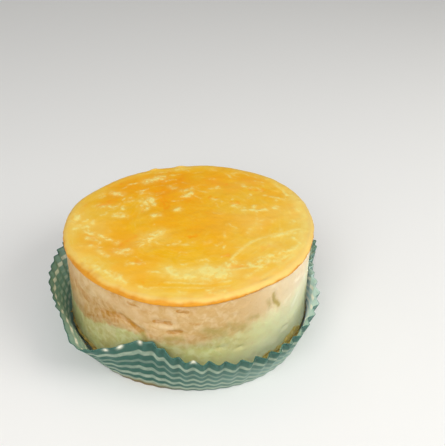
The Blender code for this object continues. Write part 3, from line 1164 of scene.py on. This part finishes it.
def mark_paper(mesh):
    """Gives the case's mesh masks of its inner face, its painted sheen and glow, its brown foot
    band, its painted highlights at the rim's folds and its painted shade along the rim's edge.
    """
    points = np.zeros(len(mesh.vertices) * 3)
    normals = np.zeros(len(mesh.vertices) * 3)
    mesh.vertices.foreach_get("co", points)
    mesh.vertices.foreach_get("normal", normals)
    x, y, _ = points.reshape(-1, 3).T
    normal_x, normal_y, normal_z = normals.reshape(-1, 3).T
    reach = np.hypot(x, y) + AXIS_REACH
    outward = (x * normal_x + y * normal_y) / reach
    inner = (outward - normal_z < 0.0).astype(float)
    angle = np.degrees(np.arctan2(y, x)) % 360.0

    places = np.zeros(len(mesh.loops) * 2)
    owners = np.zeros(len(mesh.loops), dtype=int)
    mesh.uv_layers["UVMap"].data.foreach_get("uv", places)
    mesh.loops.foreach_get("vertex_index", owners)
    up = np.zeros(len(x))
    up[owners] = places[1::2]

    # Painted sheen where light glances off the outer face at the front right and right; painted
    # glow where light comes through the inner face at the right, high on the left and low in the
    # gap at the front left.
    outer_painted_sheen = 0.75 * bell(angle, 314.0, 30.0) * soft_step(1.0, 0.25, up)
    outer_painted_sheen = np.maximum(outer_painted_sheen, 0.9 * bell(angle, 346.0, 16.0))
    inner_painted_glow = bell(angle, 342.0, 26.0) + 0.25 * bell(angle, 170.0, 14.0) * up
    inner_painted_glow = inner_painted_glow + bell(angle, 217.0, 17.0) * (0.65 - 0.6 * up)
    rim_glints = [
        bell(angle, centre, 0.8) * np.exp(-(((up - share) / 0.04) ** 2))
        for centre, share in RIM_GLINTS
    ]
    masks = {
        "inner": inner,
        "sheen_and_glow": np.where(inner > 0.5, inner_painted_glow, outer_painted_sheen),
        "brown_foot_band": bell(angle, 251.0, 13.0) * soft_step(0.10, 0.03, up) * (reach > 49.0 * MM),
        "rim_glints": strongest(rim_glints),
        # Painted shade: the rim's edge is darkened to the outer colour, least at the right.
        "edge": soft_step(0.955, 0.985, up) * (1.0 - 0.9 * bell(angle, 344.0, 26.0)),
    }
    carry(mesh, masks)


def build_case(case):
    """The pleated paper case."""
    values = {name: getattr(case, name.lower().replace(" ", "_")) for name in CASE_INPUTS}
    values["Material"] = ring_paper(case)
    piece = grown_piece("pleated_case", case_tree(), values, case.paper)
    mark_paper(piece.data)
    settle(piece, "paper_case")


def build_base(cake):
    """The sponge base with its crumbly edge."""
    low, high, *_ = cake_levels()
    inset, share = through(SPONGE_PROFILE, STEPS_PER_KNOT).T[:, :, None]
    angle = ring_angles(SPONGE_COLUMNS)
    level = low + share * (high - low)
    radius = outline(angle, level) - cake.overhang - inset * MM
    radius = radius + SIDE_UNEVEN * round_noise(angle, level, UNEVEN_SCALE, BASE_SEED)
    radius = radius + 0.35 * MM * round_noise(angle, level, 330.0, 12.0, 4)
    height = level + 0.12 * MM * round_noise(angle, level, 300.0, 18.0, 2)
    height = np.clip(height, low, high)
    piece = turned_mesh("sponge", angle, radius, height, (low, high), {})
    piece.data.materials.append(browned_sponge(cake))
    settle(piece, "sponge_base")


def build_body(cake):
    """The cheese body with its creases, dents, pits and streaks."""
    _, _, low, high, _ = cake_levels()
    share = np.linspace(0.0, 1.0, CHEESE_ROWS)[:, None]
    angle, level = np.broadcast_arrays(ring_angles(CHEESE_COLUMNS), low + share * (high - low))
    radius = outline(angle, level) - cake.overhang
    radius += SIDE_UNEVEN * round_noise(angle, level, UNEVEN_SCALE, SIDE_SEED)
    radius -= MM * sum(side_streak(angle, level, crease) for crease in CREASES)
    radius -= MM * sum(dent(angle, level, shape) for shape in DENTS + SKIN_PITS)
    radius += 0.16 * MM * round_noise(angle, level, 190.0, 41.0, 2)
    radius += 0.07 * MM * round_noise(angle, level, 620.0, 47.0, 3)
    radius -= 0.5 * MM * np.exp(-(((level - low) / (0.5 * MM)) ** 2))
    edge = low + MM * lobed(angle, CRUMBED_FOOT)
    edge = edge + 1.2 * MM * round_noise(angle, level, 300.0, 57.0, 3)
    crumbed = soft_step(0.5 * MM, -0.5 * MM, level - edge)
    radius += 0.35 * MM * crumbed * round_noise(angle, level, 700.0, 59.0, 3)
    height = level + cake.slope * radius * np.cos(np.radians(angle)) * share + TOUCH * share

    # The green tint low on the side is painted reflection of the teal paper.
    edge_angles, edge_heights = zip(*PAPER_BOUNCE_EDGE)
    edge = MM * np.interp(angle, edge_angles, edge_heights)
    edge = edge + 1.5 * MM * round_noise(angle, level, 120.0, 51.0, 3)
    edge = edge + 0.9 * MM * round_noise(angle, level, 420.0, 53.0, 3)
    softness = (1.1 + 2.8 * soft_step(250.0, 280.0, angle)) * MM
    # Painted light: the right side, towards the key light, is painted lighter, and so is the foot
    # at the front right, where light comes through the paper.
    bright_side = 0.68 * around(angle, 350.0, 15.0, 75.0)
    lit_foot = 0.35 * bell(angle, 305.0, 38.0) * soft_step(18.0 * MM, 6.0 * MM, level)
    masks = {
        "toasted_and_shaded": marks(angle, level, TOASTED_AND_SHADED_STREAKS),
        "olive": marks(angle, level, OLIVE_STREAKS),
        "milky_and_lit": np.maximum(marks(angle, level, MILKY_AND_HIGHLIGHT_STREAKS), bright_side + lit_foot),
        "paper_bounce": soft_step(softness, -softness, level - edge),
        "crumbed": crumbed,
        # Painted shade: more orange-brown towards the left side, away from the key light.
        "painted_left_shade": 0.25 + 0.45 * around(angle, 205.0, 0.0, 70.0),
    }
    piece = turned_mesh("cheese", angle, radius, height, (low, high + TOUCH), masks)
    piece.data.materials.append(baked_cheese(cake))
    settle(piece, "cheese_body")


def chance_streaks(count, seed):
    """Small faint streaks strewn over the top, most of them lying round its middle."""
    draw = np.random.RandomState(seed)
    streaks = []
    for _ in range(count):
        turn = draw.uniform(0.0, 2.0 * math.pi)
        out = FAINT_REACH * math.sqrt(draw.uniform(0.08, 1.0))
        x, y = out * math.cos(turn), out * math.sin(turn)
        length = draw.uniform(0.5, 5.0)
        lie = turn + math.radians(90.0 + draw.normal(0.0, 22.0))
        end_x, end_y = x + length * math.cos(lie), y + length * math.sin(lie)
        width = draw.uniform(0.3, 0.7)
        streaks.append((x, y, end_x, end_y, width, draw.uniform(0.15, 0.6)))
    return streaks


def top_streaks(x, y, streaks):
    """Mask of several streaks of the top, bent and parted into hairs as brushed glaze is."""
    bent_x = x + 1.1 * MM * flat_noise(x, y, 240.0, 3.0, 3)
    bent_y = y + 1.1 * MM * flat_noise(x, y, 240.0, 8.0, 3)
    broken = np.clip(0.6 + 1.5 * flat_noise(x, y, 520.0, 13.0, 3), 0.0, 1.4)
    mask = np.zeros(x.shape)
    for i, (x0, y0, x1, y1, half_width, strength) in enumerate(streaks):
        run_x, run_y = (x1 - x0) * MM, (y1 - y0) * MM
        away_x, away_y = bent_x - x0 * MM, bent_y - y0 * MM
        away = segment_away(away_x, away_y, run_x, run_y) / (half_width * MM)
        near = away < 3.0
        lie = math.atan2(run_y, run_x)
        across = away_y[near] * math.cos(lie) - away_x[near] * math.sin(lie)
        along = away_x[near] * math.cos(lie) + away_y[near] * math.sin(lie)
        hairs = np.clip(0.85 + 1.3 * flat_noise(along * 0.2, across, 1100.0, 3.1 * i, 2), 0.2, 1.3)
        core = np.exp(-(away[near] ** 2)) * broken[near] * hairs
        glow = 0.22 * np.exp(-((away[near] / 1.8) ** 2))
        mask[near] = np.maximum(mask[near], strength * (core + glow))
    return np.clip(mask, 0.0, 1.0)


def brushed_arcs(x, y):
    """Mask of the long smooth arcs in the glaze."""
    wander = 0.25 * MM * flat_noise(x, y, 200.0, 43.0, 2)
    mask = np.zeros(x.shape)
    for half_width, strength, knots in BRUSHED_ARCS:
        points = through(knots, 6) * MM
        for (x0, y0), (x1, y1) in zip(points[:-1], points[1:]):
            away = segment_away(x + wander - x0, y + wander - y0, x1 - x0, y1 - y0)
            mask = np.maximum(mask, strength * np.exp(-((away / (half_width * MM)) ** 2)))
    return mask * np.clip(0.8 + 0.8 * flat_noise(x, y, 180.0, 47.0, 2), 0.3, 1.2)


def patches(x, y, ovals):
    """Sum of broad soft ovals, their edges made uneven."""
    total = sum(
        strength * np.exp(-(((x / MM - mid_x) / half_x) ** 2) - ((y / MM - mid_y) / half_y) ** 2)
        for mid_x, mid_y, half_x, half_y, strength in ovals
    )
    return total * (1.0 + 0.7 * flat_noise(x, y, 110.0, 23.0, 4))


def build_top(cake):
    """The browned, glazed top with its rounded rim."""
    low = cake_levels()[-1]
    rim_inset, rim_rise = MM * through(RIM_PROFILE, STEPS_PER_KNOT).T
    full = rim_rise[-1]
    inner = np.linspace(rim_inset[-1], cake.radius, TOP_ROWS)[1:-1]
    inset = np.append(rim_inset, inner)[:, None]
    rise = np.append(rim_rise, np.full(len(inner), full))[:, None]
    angle, rise = np.broadcast_arrays(ring_angles(TOP_COLUMNS), rise)
    share = 1.0 - inset / cake.radius

    near_rim = np.exp(-inset / (1.6 * MM))
    uneven = 0.5 * TOP_UNEVEN * round_noise(angle, 0.0 * rise, UNEVEN_SCALE, RIM_SEED)
    uneven = uneven + 0.22 * MM * round_noise(angle, rise, 260.0, 61.0, 3)
    radius = outline(angle, low) * share + near_rim * uneven
    turn = np.radians(angle)
    x, y = radius * np.cos(turn), radius * np.sin(turn)
    under = low + cake.slope * x

    place = np.stack((x, y, under), axis=-1)
    ripple = TOP_UNEVEN * noise_at(place * UNEVEN_SCALE + (0.0, 0.0, TOP_SEED))
    waves = 0.14 * MM * noise_at(place * 170.0 + (5.0, 0.0, 0.0), 2)
    fine = 0.05 * MM * noise_at(place * 520.0 + (0.0, 9.0, 0.0), 3)
    # Streaks of thick glaze, many of them painted glints, and the brushed arcs.
    pale_and_glint = 1.08 * top_streaks(x, y, (*PALE_AND_GLINT_STREAKS, *chance_streaks(FAINT_STREAKS, FAINT_SEED)))
    pale_and_glint = np.clip(np.maximum(pale_and_glint, brushed_arcs(x, y)), 0.0, 1.0)
    deep = np.maximum(top_streaks(x, y, DEEP_STREAKS), patches(x, y, DARK_PATCHES))
    relief = ripple + waves + fine + 0.10 * MM * pale_and_glint - 0.05 * MM * deep
    dome = cake.dome * (1.0 - share**2)
    flake = MM * lobed(angle, RIM_FLAKES) * np.exp(-(((inset - 0.6 * MM) / (1.2 * MM)) ** 2))
    height = under + rise + soft_step(0.3, 1.0, rise / full) * (dome + relief) + flake

    inside = soft_step(3.0 * MM, 6.0 * MM, inset)
    band = 1.3 * MM + 0.9 * MM * around(angle, 238.0, 20.0, 60.0)
    lip_edge = rise + 0.5 * MM * round_noise(angle, rise, 240.0, 71.0, 3)
    crust = soft_step(band + 0.5 * MM, band - 0.5 * MM, lip_edge)
    lip_width = inset + 0.8 * MM * flat_noise(x, y, 130.0, 73.0, 3)
    front = around(angle, 305.0, 50.0, 100.0)
    # A painted highlight along the inside of the rim, strongest at the front.
    lip_light = 0.36 * np.exp(-(((lip_width - 3.2 * MM) / (2.2 * MM)) ** 2)) * (0.4 + 0.6 * front)
    burnt = lobed(angle, BURNT_SPOTS) + 0.35 * round_noise(angle, rise, 500.0, 77.0, 3)
    masks = {
        "pale_and_glint": pale_and_glint * (0.35 + 0.65 * inside),
        "deep": deep * inside + np.clip(burnt, 0.0, 1.0) * (1.0 - inside),
        # Painted sheen of the glaze, with the rim's painted highlight.
        "light": patches(x, y, PAINTED_SHEEN_PATCHES) + lip_light,
        "lip": (0.45 + 0.3 * front) * soft_step(3.0 * MM, 1.4 * MM, lip_width),
        "rim": crust * soft_step(4.0 * MM, 2.0 * MM, inset),
    }
    centres = (low, low + full + cake.dome)
    piece = turned_mesh("glazed_top", angle, radius, height, centres, masks)
    piece.data.materials.append(glazed_skin(cake))
    settle(piece, "browned_top")


def drawn(tree, seed, low, high):
    """A random value, or a random vector, between two."""
    is_vector = isinstance(low, tuple)
    kind = "FLOAT_VECTOR" if is_vector else "FLOAT"
    first = 0 if is_vector else 2
    feeds = {first: low, first + 1: high, "Seed": seed}
    return put(tree, "FunctionNodeRandomValue", feeds, data_type=kind)[0 if is_vector else 1]


def crumb_tree():
    """Geometry Nodes that lay crumbs along a ring on the paper, between sponge and wall."""
    inputs = {
        "Ring Radius": 0.0,
        "Lowest": 0.0,
        "Count": "NodeSocketInt",
        "Seed": "NodeSocketInt",
    }
    tree, given = shape_group("Scattered crumbs", inputs)
    jitter_seed, turn_seed, size_seed = (calc(tree, "ADD", given["Seed"], i) for i in (1, 2, 3))
    feeds = {"Resolution": 128, "Radius": given["Ring Radius"]}
    ring = put(tree, "GeometryNodeCurvePrimitiveCircle", feeds)[0]
    feeds = {"Curve": ring, "Count": given["Count"]}
    points = put(tree, "GeometryNodeCurveToPoints", feeds, mode="COUNT")[0]
    jitter = drawn(tree, jitter_seed, (-0.3 * MM, -0.3 * MM, 0.0), (0.3 * MM, 0.3 * MM, 0.9 * MM))
    offset = vector_calc(tree, "ADD", {0: jitter, 1: joined(tree, z=given["Lowest"])})
    laid = put(tree, "GeometryNodeSetPosition", {"Geometry": points, "Offset": offset})[0]

    crumb = put(tree, "GeometryNodeMeshIcoSphere", {"Radius": 0.5 * MM, "Subdivisions": 2})[0]
    spot = put(tree, "GeometryNodeInputPosition")[0]
    swell = calc(tree, "MULTIPLY_ADD", speckle(tree, spot, 2200.0, 2.0), 1.6, -0.8)
    push = vector_calc(tree, "SCALE", {0: spot, "Scale": swell})
    crumb = put(tree, "GeometryNodeSetPosition", {"Geometry": crumb, "Offset": push})[0]
    feeds = {
        "Points": laid,
        "Instance": crumb,
        "Rotation": drawn(tree, turn_seed, (0.0, 0.0, 0.0), (6.28, 6.28, 6.28)),
        "Scale": drawn(tree, size_seed, 0.3, 0.9),
    }
    scattered = put(tree, "GeometryNodeInstanceOnPoints", feeds)[0]
    return close_shape(tree, scattered, given["Material"])


def build_crumbs(cake, case):
    """Crumbs of the sponge on the paper round the cake's foot."""
    values = {
        "Ring Radius": case.base_radius - 1.4 * MM,
        "Lowest": case.paper + 0.4 * MM,
        "Count": CRUMBS,
        "Seed": case.seed,
        "Material": browned_sponge(cake, "crumb_sponge"),
    }
    settle(grown_piece("crumbs", crumb_tree(), values))


def build_floor(stage):
    """The plain pale floor, a large disc."""
    radius = 6.0
    segments = 96
    turns = np.arange(segments) * 2.0 * math.pi / segments
    points = [(radius * math.cos(t), radius * math.sin(t), 0.0) for t in turns]
    mesh = bpy.data.meshes.new("floor")
    mesh.from_pydata(points, [], [list(range(segments))])
    floor = linked("floor", mesh)
    material, tree, surface, _ = new_material("floor_finish")
    finish = {"Base Color": (*stage.floor, 1.0), "Roughness": 0.9, "Specular IOR Level": 0.1}
    feed(tree, surface, finish)
    floor.data.materials.append(material)


def lamp(name, place, size, power, colour=(1.0, 1.0, 1.0)):
    """A soft square lamp that faces the middle of the cake."""
    light = bpy.data.lights.new(name, "AREA")
    light.size = size
    light.energy = power
    light.color = colour
    piece = linked(name, light)
    piece.location = place
    way = Vector((0.0, 0.0, 20.0 * MM)) - Vector(place)
    piece.rotation_euler = way.to_track_quat("-Z", "Y").to_euler()


def build_sky(stage):
    """Soft light from all round, dimmer low down at the back."""
    world = bpy.data.worlds.new("studio")
    world.use_nodes = True
    tree = world.node_tree
    _, behind, up = split(tree, put(tree, "ShaderNodeTexCoord")["Generated"])
    dim = times(tree, fade(tree, behind, -0.1, 0.7), fade(tree, up, 0.95, 0.5))
    strength = fade(tree, dim, 0.0, 1.0, stage.sky, stage.sky * 0.3)
    feed(tree, tree.nodes["Background"], {"Strength": strength, "Color": (1.0, 0.99, 0.97, 1.0)})
    bpy.context.scene.world = world


def build_camera(stage):
    """The camera at the photograph's viewing angle."""
    longer_side = 446.0
    focal_pixels = 600.0
    middle_column = 222.5
    centre_column = 190.0
    camera = bpy.data.cameras.new("camera")
    camera.sensor_width = 36.0
    camera.lens = focal_pixels * camera.sensor_width / longer_side
    camera.shift_x = (middle_column - centre_column) / longer_side
    camera.clip_start = 1.0 * MM
    piece = linked("camera", camera)
    down = math.radians(stage.camera_height)
    towards = Vector((0.0, math.cos(down), -math.sin(down)))
    piece.location = Vector((0.54 * MM, -0.1 * MM, 39.0 * MM)) - stage.camera_distance * towards
    piece.rotation_euler = Euler((math.pi / 2 - down, 0.0, 0.0))
    bpy.context.scene.camera = piece


class MakeCase(bpy.types.Operator):
    """Makes the pleated paper case"""

    bl_idname = "cheesecake.make_case"
    bl_label = "Make the paper case"

    def execute(self, context):
        build_case(context.scene.case_settings)
        return {"FINISHED"}


class MakeBase(bpy.types.Operator):
    """Makes the sponge base"""

    bl_idname = "cheesecake.make_base"
    bl_label = "Make the sponge base"

    def execute(self, context):
        build_base(context.scene.cake_settings)
        return {"FINISHED"}


class MakeBody(bpy.types.Operator):
    """Makes the cheese body"""

    bl_idname = "cheesecake.make_body"
    bl_label = "Make the cheese"

    def execute(self, context):
        build_body(context.scene.cake_settings)
        return {"FINISHED"}


class MakeTop(bpy.types.Operator):
    """Makes the browned, glazed top"""

    bl_idname = "cheesecake.make_top"
    bl_label = "Make the glazed top"

    def execute(self, context):
        build_top(context.scene.cake_settings)
        return {"FINISHED"}


class MakeCrumbs(bpy.types.Operator):
    """Makes the crumbs in the case"""

    bl_idname = "cheesecake.make_crumbs"
    bl_label = "Make the crumbs"

    def execute(self, context):
        build_crumbs(context.scene.cake_settings, context.scene.case_settings)
        return {"FINISHED"}


class MakeStage(bpy.types.Operator):
    """Makes the floor, the light and the camera"""

    bl_idname = "cheesecake.make_stage"
    bl_label = "Make the stage"

    def execute(self, context):
        stage = context.scene.stage_settings
        build_floor(stage)
        build_sky(stage)
        lamp("key", (0.55, -0.20, 0.45), 0.45, stage.key_power, (1.0, 0.985, 0.95))
        lamp("fill", (-0.20, -0.55, 0.50), 0.5, stage.fill_power)
        lamp("window", (-0.18, 0.75, 0.60), 0.06, stage.window_power)
        build_camera(stage)
        context.scene.view_settings.view_transform = "Standard"
        return {"FINISHED"}


OPERATORS = (MakeCase, MakeBase, MakeBody, MakeTop, MakeCrumbs, MakeStage)
SETTINGS = (
    ("cake_settings", CakeSettings),
    ("case_settings", CaseSettings),
    ("stage_settings", StageSettings),
)


class CheesecakePanel(bpy.types.Panel):
    """Buttons and settings of the cheesecake"""

    bl_idname = "VIEW3D_PT_cheesecake"
    bl_label = "Cheesecake"
    bl_space_type = "VIEW_3D"
    bl_region_type = "UI"
    bl_category = "Cheesecake"

    def draw(self, context):
        for operator in OPERATORS:
            self.layout.operator(operator.bl_idname)
        for name, _ in SETTINGS:
            group = getattr(context.scene, name)
            box = self.layout.box()
            for setting in group.__annotations__:
                box.prop(group, setting)


def register():
    for name, group in SETTINGS:
        bpy.utils.register_class(group)
        setattr(bpy.types.Scene, name, bpy.props.PointerProperty(type=group))
    for cls in (*OPERATORS, CheesecakePanel):
        bpy.utils.register_class(cls)


def unregister():
    for cls in (CheesecakePanel, *reversed(OPERATORS)):
        bpy.utils.unregister_class(cls)
    for name, group in reversed(SETTINGS):
        delattr(bpy.types.Scene, name)
        bpy.utils.unregister_class(group)


def main():
    register()
    bpy.ops.cheesecake.make_case()
    bpy.ops.cheesecake.make_base()
    bpy.ops.cheesecake.make_body()
    bpy.ops.cheesecake.make_top()
    bpy.ops.cheesecake.make_crumbs()
    bpy.ops.cheesecake.make_stage()


if __name__ == "__main__":
    main()
